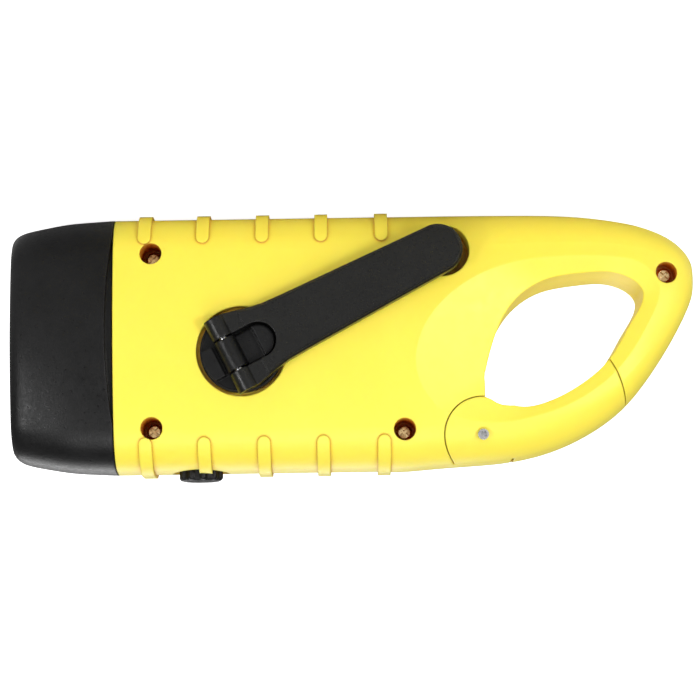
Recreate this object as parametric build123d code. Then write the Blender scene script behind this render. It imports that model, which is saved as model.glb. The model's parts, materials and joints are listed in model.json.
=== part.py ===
"""Hand crank flashlight: a flat yellow torch with a folding crank, a rotary switch and a
carabiner-shaped tail. Millimetres. +X is the way the light shines, +Z is up with the switch
on top, and the crank lies on the -Y side. The torch stands on the ribs of its straight edge,
and the origin is on the ground under the middle of its length."""

import os
from math import atan2, cos, pi, radians, sin, sqrt, tan

from build123d import *

# ---------------------------------------------------------------- driving dimensions
FRONT_X = 99.0  # front rim of the bezel
TAIL_X = -99.0  # tip of the handle loop
BODY_FRONT_X = 69.1  # where the yellow body ends and the bezel begins
HALF_HEIGHT = 37.2  # of the body's section
HALF_WIDTH = 21.5
SIDE_ARC, TOP_ARC = 1.86, 3.9  # arcs of a section over those of an ellipse of its size
CORNER_ARC = 0.65  # corner arc over the shorter half size
WALL = 2.4
RIB_HEIGHT = 0.8
RIB_FLAT = 0.25  # cut off a rib's crest, so that the torch stands on a flat
RIB_WIDTH = 3.7
RIB_X = (60.2, 43.4, 26.3, 9.3, -8.1)
RIB_INNER_Z = 28.0  # distance from the light's axis to the rounded end of a rib
AXIS_Z = HALF_HEIGHT + RIB_HEIGHT  # height of the light's axis over the ground

CLEAR_X, CLEAR_Y, CLEAR_Z = (-120.0, 120.0), 30.0, (-60.0, 60.0)  # past every side of the torch
GAP = 0.3  # between moving pieces
RUN = 0.05  # radial clearance of a running fit

# Lines of the body: x, lowest and highest z from the light's axis, half width
HULL = (
    (-8.0, -37.2, 37.2, 21.5),
    (-22.0, -37.2, 36.8, 21.1),
    (-36.4, -37.2, 35.9, 20.2),
    (-51.8, -37.1, 33.8, 18.8),
    (-66.5, -36.4, 28.2, 17.2),
    (-78.0, -34.8, 20.2, 15.7),
    (-86.5, -32.5, 10.1, 14.3),
    (-93.0, -29.2, 0.0, 12.6),
    (-96.8, -25.6, -7.2, 10.4),
    (-98.5, -22.8, -11.4, 7.9),
    (TAIL_X, -21.2, -13.4, 6.0),
)

# Opening of the carabiner loop, x and z from the light's axis
OPENING = (
    (-37.2, 11.0),
    (-39.6, 2.0),
    (-45.2, -9.2),
    (-54.5, -16.2),
    (-66.5, -18.5),
    (-78.0, -17.8),
    (-83.6, -13.2),
    (-80.0, -4.0),
    (-73.6, 6.4),
    (-65.0, 13.9),
    (-54.0, 19.3),
    (-45.5, 19.9),
)
# Front corner of the opening, where it sweeps off the gate's hub into the gate's arm
CORNER = (
    (-37.2, 10.0),
    (-37.2, 17.4),
    (-39.0, 18.2),
    (-40.4, 19.1),
    (-42.0, 19.7),
    (-44.3, 19.95),
    (-46.5, 19.9),
    (-46.5, 10.0),
)
# Outline where the scoop round the opening starts
SCOOP = (
    (-12.0, 26.5),
    (-12.4, 13.5),
    (-16.4, 2.5),
    (-24.2, -10.2),
    (-36.0, -21.0),
    (-52.0, -25.3),
    (-68.0, -26.3),
    (-83.0, -25.6),
    (-91.3, -17.5),
    (-87.0, -3.0),
    (-79.3, 10.5),
    (-68.5, 20.4),
    (-45.0, 29.5),
)
SCOOP_TOP_Y, SCOOP_TURN_X = 21.4, -18.4  # plane of the scoop's edge and where it is that wide
SCOOP_DEPTH = 3.6
SCOOP_TAPER = 5.2  # degrees, the side of the body draws in towards the tail

# Lines of the hollow, as in HULL, and the pocket in the loop's arm
HOLLOW = (
    (-8.0, -34.8, 34.8, 19.1),
    (-20.0, -34.7, 34.3, 17.6),
    (-33.5, -34.5, 32.6, 14.6),
)
ARM_CORE_X, ARM_CORE_Y, ARM_CORE_Z = (-70.0, -38.0), 9.0, (-32.5, -22.0)

# Crank
CRANK_X, CRANK_Z = 32.4, 3.75
ARM_ANGLE = 26.4  # degrees below the light's axis, towards the tail
ARM_REACH = 63.5
ARM_THICK = 4.8
ARM_UNDER_Y = -21.85
ARM_TIP_R = 6.6
ARM_TIP_BACK, ARM_TIP_HALF = 0.9, 7.05  # where the arm's straight sides end, from the knob's axis
ARM_SIDE = ((18.0, 8.6), (11.0, 8.95), (6.0, 9.9), (0.0, 11.3))  # from tip to root: along, half width
ARM_EDGE = 0.7  # chamfer round the arm's face
ARM_HOLLOW = (38.0, 34.0, 8.4, 2.8)  # hollow under the arm: middle, length, width, twice its depth
ARM_SEAT = (4.2, 0.8)  # round seat under the tip: radius, twice its depth
ROOT_X, ROOT_DROP = (-6.0, 4.0), 0.6  # where the arm's face is lower, and by how much
SLOT_X, SLOT_R = 5.6, 5.2  # centre and radius of the round end of the arm's slot
LUG_REACH, BRIDGE_H = 11.4, 1.0
PAD_X, PAD_H, STOP_H = (-11.3, -7.1), 2.9, 3.5
HINGE_BACK = 2.9  # the hinge lies this far behind the crank's axis
HINGE_Y = ARM_UNDER_Y - ARM_THICK / 2
KNUCKLE_R = 3.2
HINGE_HALF = 11.3
LUG_HALF = 4.6
HUB_R = 11.8
RECESS_R = 12.9
STUB_SCREW_L = 5.0
HUB_FACE_Y = -20.6
HUB_BACK_Y = -17.6
RECESS_Y = -17.3
SHAFT_R = 4.0
PIN_R = 1.2
KNOB_R, KNOB_END_Y = 5.8, -8.6
POCKET_R, POCKET_SHIFT, POCKET_END_Y = 7.8, 1.2, -6.2
KNOB_SCREW_R, KNOB_SCREW_DEEP, KNOB_HEAD_R, KNOB_SINK_R, KNOB_SINK = 1.6, 3.0, 2.9, 3.2, 2.2

# Gear train, all axes along Y
MODULE = 0.8
PRESSURE = 20.0
ADDENDUM, DEDENDUM = 0.78, 1.15  # in modules
BACKLASH = 0.14
DRIVE_TEETH, WHEEL_TEETH, PINION_TEETH = 50, 40, 12
FIRST_DISTANCE = MODULE * (DRIVE_TEETH + PINION_TEETH) / 2
NEXT_DISTANCE = MODULE * (WHEEL_TEETH + PINION_TEETH) / 2
IDLER_A_ANGLE, IDLER_B_ANGLE, ROTOR_ANGLE = 207.5, 110.0, 200.0
DRIVE_Y = (-14.5, -10.2)
A_PINION_Y, A_WHEEL_Y = (-14.3, -9.5), (-9.6, -7.3)
B_PINION_Y, B_WHEEL_Y = (-9.8, -6.7), (-6.8, -4.5)
ROTOR_PINION_Y = (-6.9, -4.4)
CAM_Y = (-13.2, -10.2)
CUP_R, CAM_R, CAM_FLAT, ROLLER_R, ROLLERS = 7.8, 7.3, 5.3, 1.2, 3
STUB_R, STUB_SCREW_R, STUB_HEAD_R, WASHER_R, WASHER_H = 3.0, 1.2, 2.5, 4.6, 0.6
DRIVE_WEB, WHEEL_WEB = (5, 13.6, 2.9), (4, 10.2, 2.6)  # lightening holes: number, distance, radius
AXLE_R = 1.25
PLATE_Y = (-3.4, -1.9)
POSTS = ((30.5, -20.5), (-8.0, -23.0), (20.0, 27.5), (-30.0, -9.0))
POST_R, PLATE_THREAD_R, PLATE_HEAD_R, PLATE_HEAD_H = 2.6, 1.0, 2.0, 1.2
PLATE_PARTS = (  # limits in x and z of the blocks that make up the plate
    ((24.0, 34.5), (-24.5, -12.0)),
    ((-32.8, 24.5), (-13.0, 15.0)),
    ((-12.0, 24.5), (-27.0, -12.5)),
    ((-4.0, 24.0), (14.5, 31.0)),
)
BEARING_R, RECESS_WALL, POCKET_WALL, GEAR_PLAY = 6.6, 2.0, 1.8, 0.2
AXLE_START_Y, ROTOR_START_Y = -18.0, -11.5
ROTOR_SHAFT_R, MAGNET_R, COIL_R = 1.0, 6.0, 6.6
CAN_R, CAN_WALL, CAN_END_Y = 12.5, 0.8, 11.0

# Gate of the carabiner
PIVOT_X, PIVOT_Z = -36.4, 28.3
GATE_HUB_R = 10.9
GATE_NOSE_R = 42.7
LUG_Y = 6.0
PIVOT_R, PIVOT_HEAD_R, PIVOT_SEAT_R = 1.1, 1.55, 2.0
PIVOT_HEAD_Y, PIVOT_END_Y = -17.0, 11.5
GATE_WEDGE = ((-46.0, 8.0), (-70.6, 4.0), (-104.0, 4.0), (-104.0, 60.0))  # round the arm

# Body screws: x, z from the light's axis, depth of the head's seat
SCREWS = ((58.3, -25.1, -4.6), (58.3, 25.3, -4.6), (-14.0, 26.5, -4.6), (-90.5, -18.3, -4.2))
COUNTERBORE_R = 3.15
HEAD_R, HEAD_H, HEAD_EDGE = 2.15, 1.6, 0.5
CROSS_DEPTH, CROSS_WIDTH = 1.2, 0.7
THREAD_R = 1.25
SCREW_END_Y = 7.5
BOSS_R = 4.5

# Switch
SWITCH_X = 45.2
SWITCH_R = 6.45
SWITCH_TOP = 39.4
SWITCH_SEAT = 35.3
SWITCH_SCOOP_R = 8.25
NUBS, NUB_R, NUB_OUT = 10, 1.1, 0.75
STEM_R, STEM_END_Z = 2.5, 28.2
GRIP_R, GRIP_DEEP, GRIP_BAR = 4.4, 1.2, 1.8  # sunk ring in the knob's top and the bar across it
SWITCH_HALF, SWITCH_BODY_Z, SWITCH_COLLAR_Z, COLLAR_R = 6.0, (20.0, 29.5), (29.3, 31.1), 4.4

# Head
BEZEL = (
    (BODY_FRONT_X + GAP, 37.2, 21.5),
    (73.5, 37.03, 21.42),
    (78.0, 36.77, 21.27),
    (87.0, 35.75, 20.6),
    (94.0, 34.4, 19.6),
    (97.4, 33.2, 18.5),
    (FRONT_X, 31.6, 17.0),
)
SCALLOP_R, SCALLOP_DEPTH, SCALLOP_Z = 183.0, 2.1, -3.0
SLEEVE = 1.2  # what the scallop leaves of the bezel over the neck
NECK = (34.3, 18.6)  # half height and half width
NECK_END_X = 75.5
LENS = (30.9, 16.2)
WINDOW = (29.4, 14.8)
GASKET_X, LENS_X, REFLECTOR_X, LED_BOARD_X = (95.7, 96.4), (93.7, 95.7), (81.0, 93.7), (78.2, 79.8)
BOWL_Z = (-19.6, 0.0, 19.6)
BOWL_R, BOWL_MIDDLE_R, BOWL_ROOT_R = 9.3, 6.6, 3.0
LED_R, LED_BASE = 2.4, 2.8
INNER_TURN = (82.0, 33.2, 18.1)  # section where the bezel's inside starts to narrow

# Circuit board, its screws, the battery and its saddles, and the gate's spring
BOARD_X, BOARD_Y, BOARD_Z = (28.0, 53.0), (6.2, 7.8), (-8.0, 31.0)
BOARD_SCREWS = ((31.5, -4.5), (49.5, -4.5), (31.5, 26.0))
BOARD_POST_R, BOARD_THREAD_R, BOARD_HEAD_R, BOARD_HEAD_H = 2.2, 0.8, 1.6, 1.0
BOARD_HOLE_END_Y = BOARD_Y[1] + 4.0
CHIP_X, CHIP_Z, CHIP_H = (31.0, 36.0), (6.0, 12.0), 1.5
BOARD_CANS = ((43.5, 2.0, 3.4, 4.5), (34.5, 17.5, 2.8, 7.0))  # coil and capacitor: x, z, radius, height
BATTERY_X, BATTERY_Y, BATTERY_Z, BATTERY_R = (-1.0, 44.0), 6.7, -20.0, 6.8
BATTERY_SADDLES, SADDLE_HALF = (3.0, 40.0), 6.0
CELLS = 3
SPRING_R, SPRING_HALF, SPRING_WIRE, SPRING_TURNS = 2.6, 2.4, 0.35, 4.5

# Move that brings the middle of the whole torch's width, crank included, over the origin
CENTRE_Y = (KNUCKLE_R - HINGE_Y - HALF_WIDTH) / 2


# ---------------------------------------------------------------- helpers
def section(x, half_z, half_y, z=0.0):
    """Closed wire of a rounded section at x, z above the light's axis. Each quarter has three
    tangent arcs: a flat one at the side, a tight one at the corner and a flat one at the top."""
    side_r = SIDE_ARC * half_z**2 / half_y
    top_r = TOP_ARC * half_y**2 / half_z
    corner_r = CORNER_ARC * min(half_z, half_y)
    side_c, top_c = Vector(half_y - side_r, 0), Vector(0, half_z - top_r)
    from_side, from_top = side_r - corner_r, top_r - corner_r
    between = top_c - side_c
    along = (between.length**2 + from_side**2 - from_top**2) / (2 * between.length)
    across = sqrt(from_side**2 - along**2)
    normal = Vector(-between.Y, between.X)
    corner_c = side_c + between.normalized() * along + normal.normalized() * across
    low = side_c + (corner_c - side_c).normalized() * side_r
    high = top_c + (corner_c - top_c).normalized() * top_r
    middle = corner_c + ((low + high) * 0.5 - corner_c).normalized() * corner_r

    def at(point, sy, sz):
        return Vector(x, sy * point.X, AXIS_Z + z + sz * point.Y)

    side, top = Vector(half_y, 0), Vector(0, half_z)
    edges = []
    for sy, sz in ((1, 1), (-1, 1), (-1, -1), (1, -1)):
        ends = [at(low, sy, sz), at(middle, sy, sz), at(high, sy, sz)]
        if sy * sz > 0:
            edges.append(Edge.make_three_point_arc(*ends))
            edges.append(Edge.make_three_point_arc(at(high, sy, sz), at(top, 1, sz), at(high, -sy, sz)))
        else:
            edges.append(Edge.make_three_point_arc(*reversed(ends)))
            edges.append(Edge.make_three_point_arc(at(low, sy, sz), at(side, sy, 1), at(low, sy, -sz)))
    return Wire(edges)


def section_bar(x0, x1, half_z, half_y):
    """Straight bar of one rounded section."""
    return extrude(Face(section(x0, half_z, half_y)), x1 - x0, dir=(1, 0, 0))


def lofted(lines):
    """Smooth solid through sections given as x, lowest z, highest z and half width."""
    return Solid.make_loft([section(x, (top - low) / 2, y, (top + low) / 2) for x, low, top, y in lines])


def spline_wire(points, y=0.0):
    """Closed smooth wire through points given as x and z from the light's axis."""
    return Wire([Edge.make_spline([Vector(x, y, AXIS_Z + z) for x, z in points], periodic=True)])


def outline(points):
    """Closed wire of straight lines through points given as x and z from the light's axis."""
    return Wire.make_polygon([Vector(x, 0, AXIS_Z + z) for x, z in points], close=True)


def through(face_or_wire, y0, y1):
    """Prism of an outline in the side view, from y0 to y1."""
    face = face_or_wire if isinstance(face_or_wire, Face) else Face(face_or_wire)
    return Pos(0, y0, 0) * extrude(face, y1 - y0, dir=(0, 1, 0))


def bar(x, z, radius, y0, y1):
    """Round bar along Y."""
    return Pos(x, (y0 + y1) / 2, AXIS_Z + z) * Rot(90, 0, 0) * Cylinder(radius, abs(y1 - y0))


def upright(radius, low, high):
    """Round bar along Z in the switch's place, low and high over the light's axis."""
    return Pos(SWITCH_X, 0, AXIS_Z + (low + high) / 2) * Cylinder(radius, high - low)


def block(x, y, z):
    """Box from three pairs of limits, z from the light's axis."""
    size = (x[1] - x[0], y[1] - y[0], z[1] - z[0])
    return Pos(sum(x) / 2, sum(y) / 2, AXIS_Z + sum(z) / 2) * Box(*size)


def polar(x, z, distance, angle):
    """Point at a distance and angle from x and z in the side view."""
    return x + distance * cos(radians(angle)), z + distance * sin(radians(angle))


def whole(shape):
    """The shape's solids as one shape to export."""
    solids = shape.solids()
    return solids[0] if len(solids) == 1 else Compound(children=list(solids))


# ---------------------------------------------------------------- places that follow from these
ARM_DIR = Vector(-cos(radians(ARM_ANGLE)), 0, -sin(radians(ARM_ANGLE)))
CRANK_CENTRE = Vector(CRANK_X, 0, AXIS_Z + CRANK_Z)
ARM_FRAME = Plane(origin=CRANK_CENTRE, x_dir=ARM_DIR, z_dir=(0, -1, 0))  # x along the arm
IDLER_A = polar(CRANK_X, CRANK_Z, FIRST_DISTANCE, IDLER_A_ANGLE)
IDLER_B = polar(*IDLER_A, NEXT_DISTANCE, IDLER_B_ANGLE)
ROTOR = polar(*IDLER_B, NEXT_DISTANCE, ROTOR_ANGLE)
KNOB_AT = polar(CRANK_X, CRANK_Z, ARM_REACH, 180 + ARM_ANGLE)
POCKET = polar(CRANK_X, CRANK_Z, ARM_REACH + POCKET_SHIFT, 180 + ARM_ANGLE)


def on_arm(shape, y=0.0):
    """Puts a shape drawn along the arm in its place; its z = 0 comes to y."""
    return Pos(0, y, 0) * (ARM_FRAME.location * shape)


# ---------------------------------------------------------------- gears
def tooth_points(teeth):
    """One tooth's outline, root to root, about the x axis."""
    pitch_r = MODULE * teeth / 2
    base_r = pitch_r * cos(radians(PRESSURE))
    tip_r, root_r = pitch_r + ADDENDUM * MODULE, pitch_r - DEDENDUM * MODULE
    half = pi / (2 * teeth) - BACKLASH / (4 * pitch_r)
    spread = tan(radians(PRESSURE)) - radians(PRESSURE)
    flank = [(root_r, half + spread)]
    for step in range(4):
        r = max(base_r, root_r) + (tip_r - max(base_r, root_r)) * step / 3
        turn = sqrt(max((r / base_r) ** 2 - 1, 0))
        flank.append((r, half + spread - (turn - atan2(turn, 1))))
    return [(r, -a) for r, a in flank] + [(r, a) for r, a in reversed(flank)]


def gear(centre, teeth, phase, y):
    """Spur gear along Y with a tooth at the angle phase, in degrees."""
    x, z = centre
    points = []
    for tooth in range(teeth):
        turn = radians(phase) + 2 * pi * tooth / teeth
        points += [
            Vector(x + r * cos(turn + a), 0, AXIS_Z + z + r * sin(turn + a))
            for r, a in tooth_points(teeth)
        ]
    return through(Wire.make_polygon(points, close=True), *y)


def mesh_phase(phase, teeth, direction, other_teeth):
    """Phase of a gear that meshes with one whose phase is given, in the given direction."""
    return direction + 180 - (phase - direction) * teeth / other_teeth + 180 / other_teeth


A_PHASE = mesh_phase(0.0, DRIVE_TEETH, IDLER_A_ANGLE, PINION_TEETH)
B_PHASE = mesh_phase(0.0, WHEEL_TEETH, IDLER_B_ANGLE, PINION_TEETH)
ROTOR_PHASE = mesh_phase(0.0, WHEEL_TEETH, ROTOR_ANGLE, PINION_TEETH)


def web_holes(centre, web, phase, y):
    """Lightening holes of a wheel, the first of them at the angle phase."""
    number, distance, radius = web
    places = [polar(*centre, distance, 360 / number * step + phase) for step in range(number)]
    return [bar(*place, radius, y[0] - 1, y[1] + 1) for place in places]


def drive_gear():
    """Large gear with a cup for the clutch and a web that runs on the crank's shaft."""
    solid = gear((CRANK_X, CRANK_Z), DRIVE_TEETH, 0.0, DRIVE_Y)
    solid -= bar(CRANK_X, CRANK_Z, CUP_R, CAM_Y[0] - 0.1, DRIVE_Y[1] + 1)
    solid -= bar(CRANK_X, CRANK_Z, SHAFT_R + RUN, DRIVE_Y[0] - 1, DRIVE_Y[1])
    return solid - web_holes((CRANK_X, CRANK_Z), DRIVE_WEB, 20, DRIVE_Y)


def idler(centre, pinion_phase, pinion_y, wheel_y):
    """Wheel and pinion in one piece, running on a fixed axle."""
    solid = gear(centre, WHEEL_TEETH, 0.0, wheel_y) + gear(centre, PINION_TEETH, pinion_phase, pinion_y)
    solid -= web_holes(centre, WHEEL_WEB, 45, wheel_y)
    return solid - bar(*centre, AXLE_R + RUN, pinion_y[0] - 1, wheel_y[1] + 1)


def clutch_rollers():
    """Three rollers that let the gears run on when the crank stops."""
    distance = CUP_R - ROLLER_R - RUN
    places = [polar(CRANK_X, CRANK_Z, distance, 360 / ROLLERS * k + 90) for k in range(ROLLERS)]
    return [bar(*place, ROLLER_R, CAM_Y[0] + 0.1, CAM_Y[1] - 0.1) for place in places]


def clutch_cam():
    """Cam on the crank's shaft, with a flat under each roller."""
    solid = bar(CRANK_X, CRANK_Z, CAM_R, *CAM_Y)
    pocket = Pos(CAM_FLAT + CAM_R / 2, 0, 0) * Box(CAM_R, 3 * ROLLER_R, 2 * CAM_R)
    for k in range(ROLLERS):
        place = Pos(CRANK_X, sum(CAM_Y) / 2, AXIS_Z + CRANK_Z) * Rot(90, 0, 0)
        solid -= place * (Rot(0, 0, 360 / ROLLERS * k + 90) * pocket)
    return solid - bar(CRANK_X, CRANK_Z, STUB_R, CAM_Y[0] - 1, CAM_Y[1] + 1)


# ---------------------------------------------------------------- body
def ribs():
    """Raised grip ribs across the top and bottom edges, with rounded inner ends."""
    solids = []
    for x in RIB_X:
        crest = HALF_HEIGHT + RIB_HEIGHT + RIB_FLAT
        band = section_bar(x - RIB_WIDTH / 2, x + RIB_WIDTH / 2, crest, HALF_WIDTH + 0.55)
        for side in (-1, 1):
            stem = block(
                (x - RIB_WIDTH / 2 - 1, x + RIB_WIDTH / 2 + 1), (-CLEAR_Y, CLEAR_Y),
                sorted((side * (RIB_INNER_Z + RIB_WIDTH / 2), side * (HALF_HEIGHT + RIB_HEIGHT))),
            )
            end = bar(x, side * (RIB_INNER_Z + RIB_WIDTH / 2), RIB_WIDTH / 2, -CLEAR_Y, CLEAR_Y)
            solids.append(band & (stem + end))
    return solids


def scoop_cutter():
    """Dished cut round the loop's opening, on the crank side."""
    outer = spline_wire(SCOOP, -SCOOP_TOP_Y)
    inner = spline_wire(OPENING, -SCOOP_TOP_Y + SCOOP_DEPTH)
    far = spline_wire(SCOOP, -SCOOP_TOP_Y - 6)
    dish = Solid.make_loft([outer, inner], ruled=True) + Solid.make_loft([far, outer], ruled=True)
    hinge = Axis(origin=(SCOOP_TURN_X, -SCOOP_TOP_Y, 0), direction=(0, 0, 1))
    return dish.rotate(hinge, -SCOOP_TAPER)


def gate_zone(nose_r, hub_r):
    """Side-view outline of the gate's arm, outside the hub."""
    wedge = through(outline(((PIVOT_X, PIVOT_Z), *GATE_WEDGE, (PIVOT_X, GATE_WEDGE[-1][1]))), -CLEAR_Y, CLEAR_Y)
    zone = wedge & bar(PIVOT_X, PIVOT_Z, nose_r, -CLEAR_Y, CLEAR_Y)
    return zone - bar(PIVOT_X, PIVOT_Z, hub_r, -CLEAR_Y, CLEAR_Y)


def gate_cheeks(radius, inner_y):
    """The two round cheeks of the gate's hub."""
    near = bar(PIVOT_X, PIVOT_Z, radius, -CLEAR_Y, -inner_y)
    return near + bar(PIVOT_X, PIVOT_Z, radius, inner_y, CLEAR_Y)


def body_blank():
    """Outside of the body with its ribs, loop opening and scoops, not yet hollow."""
    scoop = scoop_cutter()
    loop = through(spline_wire(OPENING), -CLEAR_Y, CLEAR_Y) + through(outline(CORNER), -CLEAR_Y, CLEAR_Y)
    front = section_bar(HULL[0][0], BODY_FRONT_X, HALF_HEIGHT, HALF_WIDTH)
    tail = lofted(HULL) - [scoop, mirror(scoop, Plane.XZ), loop]
    return front + ribs() + tail


def cavity():
    """Hollow of the main body, open at the neck, and a cored pocket in the loop's long arm."""
    front = section_bar(HOLLOW[0][0], BODY_FRONT_X - 2.5, HALF_HEIGHT - WALL, HALF_WIDTH - WALL)
    rear = lofted(HOLLOW) - bar(PIVOT_X, PIVOT_Z, GATE_HUB_R + WALL, -CLEAR_Y, CLEAR_Y)
    mouth = section_bar(BODY_FRONT_X - 6, NECK_END_X + 1, NECK[0] - WALL, NECK[1] - WALL)
    core = block(ARM_CORE_X, (-ARM_CORE_Y, ARM_CORE_Y), ARM_CORE_Z)
    return [front, rear, mouth, core]


def bosses(side):
    """Posts inside one shell for the screws, gears, plate, board and battery."""
    posts = [bar(x, z, BOSS_R, *sorted((0, side * CLEAR_Y))) for x, z, _ in SCREWS if x > HOLLOW[-1][0]]
    if side > 0:
        posts += [bar(x, z, BOARD_POST_R, BOARD_Y[1], CLEAR_Y) for x, z in BOARD_SCREWS]
        return posts + [battery_saddle(x) for x in BATTERY_SADDLES]
    posts += [bar(x, z, POST_R, AXLE_START_Y, PLATE_Y[0]) for x, z in POSTS]
    posts.append(bar(CRANK_X, CRANK_Z, RECESS_R + WALL, -CLEAR_Y, RECESS_Y + RECESS_WALL))
    posts.append(bar(CRANK_X, CRANK_Z, BEARING_R, -CLEAR_Y, DRIVE_Y[0] - GEAR_PLAY))
    posts.append(bar(*IDLER_A, POST_R, -CLEAR_Y, A_PINION_Y[0] - GEAR_PLAY))
    posts.append(bar(*IDLER_B, POST_R, -CLEAR_Y, B_PINION_Y[0] - GEAR_PLAY))
    posts.append(bar(*ROTOR, POST_R, -CLEAR_Y, ROTOR_PINION_Y[0] - GAP))
    posts.append(bar(*POCKET, POCKET_R + POCKET_WALL, -CLEAR_Y, POCKET_END_Y + POCKET_WALL))
    return posts


def holes(side):
    """What is cut from one hollow shell."""
    cuts = [upright(SWITCH_SCOOP_R, SWITCH_SEAT, 2 * HALF_HEIGHT)]
    cuts.append(upright(STEM_R + RUN, SWITCH_COLLAR_Z[0] - 4.0, HALF_HEIGHT))
    cuts.append(bar(PIVOT_X, PIVOT_Z, PIVOT_R + RUN, -LUG_Y - 1, LUG_Y + 1))
    spring_half = SPRING_HALF + 0.4
    cuts.append(bar(PIVOT_X, PIVOT_Z, SPRING_R + 0.9, -spring_half, spring_half))
    if side > 0:
        cuts += [bar(x, z, THREAD_R, -1, SCREW_END_Y + 0.5) for x, z, _ in SCREWS]
        return cuts + [bar(x, z, BOARD_THREAD_R, BOARD_Y[1] - 1, BOARD_HOLE_END_Y) for x, z in BOARD_SCREWS]
    for x, z, seat in SCREWS:
        cuts.append(bar(x, z, COUNTERBORE_R, -CLEAR_Y, seat))
        cuts.append(bar(x, z, THREAD_R + 0.15, -CLEAR_Y, 1))
    cuts += [bar(x, z, PLATE_THREAD_R, PLATE_Y[0] - 7, PLATE_Y[0] + 1) for x, z in POSTS]
    cuts.append(bar(CRANK_X, CRANK_Z, RECESS_R, -CLEAR_Y, RECESS_Y))
    cuts.append(bar(CRANK_X, CRANK_Z, SHAFT_R + RUN, -CLEAR_Y, DRIVE_Y[0] + 1))
    cuts.append(bar(*IDLER_A, AXLE_R, AXLE_START_Y, A_PINION_Y[0] + 1))
    cuts.append(bar(*IDLER_B, AXLE_R, AXLE_START_Y, B_PINION_Y[0] + 1))
    cuts.append(bar(*ROTOR, ROTOR_SHAFT_R + RUN, ROTOR_START_Y - 0.5, ROTOR_PINION_Y[0] + 1))
    cuts.append(bar(*POCKET, POCKET_R, -CLEAR_Y, POCKET_END_Y))
    return cuts


def battery_saddle(x):
    """Rib on the far wall that cradles the battery."""
    rib = block((x - 1, x + 1), (BATTERY_Y, CLEAR_Y), (BATTERY_Z - SADDLE_HALF, BATTERY_Z + SADDLE_HALF))
    cell = Pos(x, BATTERY_Y, AXIS_Z + BATTERY_Z) * Rot(0, 90, 0) * Cylinder(BATTERY_R, 8)
    return rib - cell


def neck():
    """Ring in front of the body that the bezel slides over, and the shoulder that carries it."""
    ring = section_bar(BODY_FRONT_X - 3, NECK_END_X, *NECK)
    shoulder = section_bar(BODY_FRONT_X - 3, BODY_FRONT_X, HALF_HEIGHT - 1.0, HALF_WIDTH - 1.0)
    mouth = section_bar(BODY_FRONT_X - 7, NECK_END_X + 1, NECK[0] - WALL, NECK[1] - WALL)
    return ring + shoulder - mouth


def shell(blank, side):
    """One yellow shell: side is -1 for the crank's and 1 for the far one, which is built as its
    mirror image and turned over at the end."""
    def near(shape):
        return shape if side < 0 else mirror(shape, Plane.XZ)

    keep = block(CLEAR_X, (-CLEAR_Y, 0), CLEAR_Z)
    skin = [
        section_bar(HULL[0][0], BODY_FRONT_X, HALF_HEIGHT - 0.6, HALF_WIDTH - 0.6),
        section_bar(HOLLOW[-1][0] - 3, HULL[0][0], HALF_HEIGHT - 1.0, HALF_WIDTH - 2.1),
    ]
    core = (skin[0] + skin[1]) & keep
    inside = [near(boss) & core for boss in bosses(side)]
    solid = (blank & keep) - cavity() + [neck() & keep, *inside]
    solid -= [near(hole) for hole in holes(side)]
    solid -= [gate_cheeks(GATE_HUB_R + GAP, LUG_Y), gate_zone(GATE_NOSE_R + GAP, GATE_HUB_R - 0.2)]
    return near(solid)


def carabiner_gate(blank):
    """Gate with two cheeks that straddle the body's lug."""
    arm = blank & gate_zone(GATE_NOSE_R, GATE_HUB_R + GAP)
    cheeks = blank & gate_cheeks(GATE_HUB_R, LUG_Y + GAP)
    beside = block(CLEAR_X, (-CLEAR_Y, -LUG_Y - GAP), CLEAR_Z) + block(CLEAR_X, (LUG_Y + GAP, CLEAR_Y), CLEAR_Z)
    link = blank & gate_zone(GATE_HUB_R + 1.0, GATE_HUB_R - 4.0) & beside
    solid = arm + cheeks + link
    solid -= bar(PIVOT_X, PIVOT_Z, PIVOT_R, -CLEAR_Y, PIVOT_END_Y + 0.5)
    return solid - bar(PIVOT_X, PIVOT_Z, PIVOT_SEAT_R, -CLEAR_Y, PIVOT_HEAD_Y)


def gate_pivot_screw():
    """Screw that is the gate's pivot, with its head on the crank side."""
    face_y = PIVOT_HEAD_Y - 1.0
    shank = bar(PIVOT_X, PIVOT_Z, PIVOT_R, PIVOT_HEAD_Y, PIVOT_END_Y)
    head = bar(PIVOT_X, PIVOT_Z, PIVOT_HEAD_R, face_y, PIVOT_HEAD_Y)
    return cross_cut(shank + head, PIVOT_X, PIVOT_Z, face_y, 1.2 * PIVOT_HEAD_R)


def gate_spring():
    """Torsion spring in the lug, round the pivot."""
    rise = 2 * SPRING_HALF - 2 * SPRING_WIRE
    path = Helix(pitch=rise / SPRING_TURNS, height=rise, radius=SPRING_R)
    profile = Plane(origin=path @ 0, z_dir=path % 0) * Circle(SPRING_WIRE)
    coil = sweep(profile, path=path)
    return Pos(PIVOT_X, rise / 2, AXIS_Z + PIVOT_Z) * (Rot(90, 0, 0) * coil)


# ---------------------------------------------------------------- fasteners
def cross_cut(solid, x, z, face_y, span):
    """Cuts a cross recess into a screw head whose face is at face_y, looking towards -Y."""
    for turn in (45, 135):
        slot = Rot(0, turn, 0) * Box(span, 2 * CROSS_DEPTH, CROSS_WIDTH)
        solid -= Pos(x, face_y, AXIS_Z + z) * slot
    return solid


def body_screw(x, z, seat):
    """Cross-head screw that holds the two shells together."""
    head = bar(x, z, HEAD_R, seat - HEAD_H, seat)
    head = chamfer(head.edges().filter_by(GeomType.CIRCLE).sort_by(Axis.Y)[0], HEAD_EDGE)
    solid = head + bar(x, z, THREAD_R, seat, SCREW_END_Y)
    return cross_cut(solid, x, z, seat - HEAD_H, 3.0)


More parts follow.
